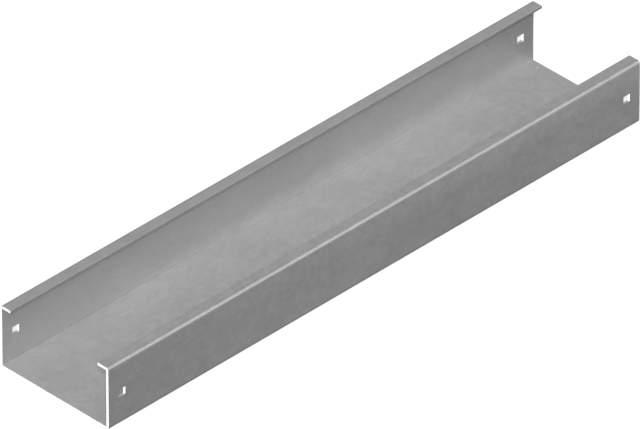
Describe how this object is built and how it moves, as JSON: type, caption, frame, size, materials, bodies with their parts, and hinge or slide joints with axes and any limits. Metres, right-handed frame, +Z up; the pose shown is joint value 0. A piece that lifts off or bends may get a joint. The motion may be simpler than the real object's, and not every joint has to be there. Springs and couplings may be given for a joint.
{
  "type": "cable tray",
  "caption": "Length of folded sheet-steel cable tray: an open channel with a flat base, straight side walls, narrow inward lips and square joining holes near its ends.",
  "frame": {"origin": "under the middle of the base, on the plane that the tray lies on", "axes": "+X along the tray towards the end that is farther away in the picture, +Y across it towards the wall at the picture's left, +Z up out of the open top"},
  "size_m": [0.5, 0.102, 0.05],
  "materials": {
    "galvanised_steel": "dull galvanised zinc with a faint spangle"
  },
  "bodies": {
    "root": {"tray_channel": "galvanised_steel"}
  },
  "joints": []
}
